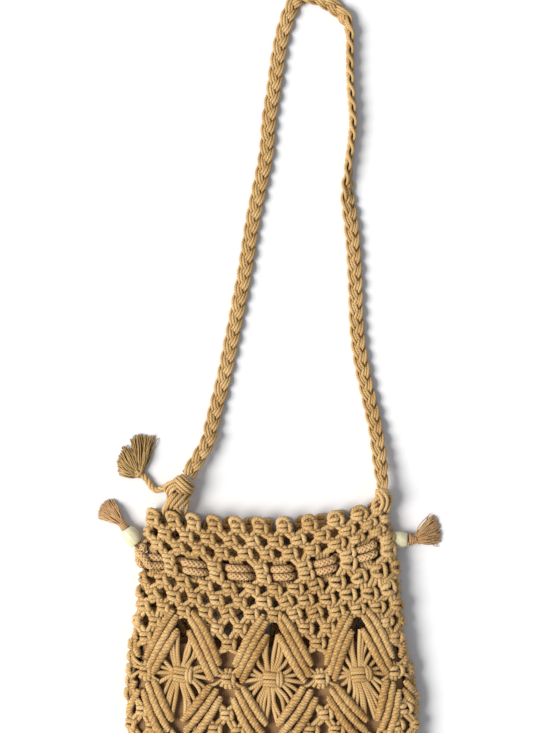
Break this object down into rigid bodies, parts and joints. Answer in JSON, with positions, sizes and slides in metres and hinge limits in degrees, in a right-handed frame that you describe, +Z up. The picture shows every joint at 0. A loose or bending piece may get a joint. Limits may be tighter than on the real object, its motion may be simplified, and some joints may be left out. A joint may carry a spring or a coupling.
{
  "type": "macrame bag",
  "caption": "Knotted cotton-cord shoulder bag lying flat, with ribbed diamonds, a drawstring with wooden beads and tassels, and a braided strap.",
  "frame": {"origin": "a point on the flat back that the bag lies on, on its middle line and 126 mm below the middle of the rim", "axes": "+Z up out of the bag's front, +Y from the bottom of the bag to its rim and strap, +X to the right of the bag seen from its front"},
  "size_m": [0.3261, 0.776, 0.0375],
  "materials": {
    "cotton_cord": "twisted cotton macrame cord, matt and slightly fuzzy",
    "rose_braid": "round braided cotton cord, matt",
    "tassel_thread": "loose cotton threads, matt",
    "bead_wood": "turned pale wood, waxed",
    "lining_cloth": "plain woven cotton lining, matt"
  },
  "bodies": {
    "root": {"macrame_net": "cotton_cord", "lining_pouch": "lining_cloth", "drawstring_left": "rose_braid", "drawstring_right": "rose_braid", "bead_left": "bead_wood", "bead_right": "bead_wood", "cord_tassel_left": "tassel_thread", "cord_tassel_right": "tassel_thread", "strap": "cotton_cord", "strap_knot_left": "cotton_cord", "strap_knot_right": "cotton_cord", "tail_cord": "cotton_cord", "tail_tassel": "cotton_cord"}
  },
  "joints": []
}
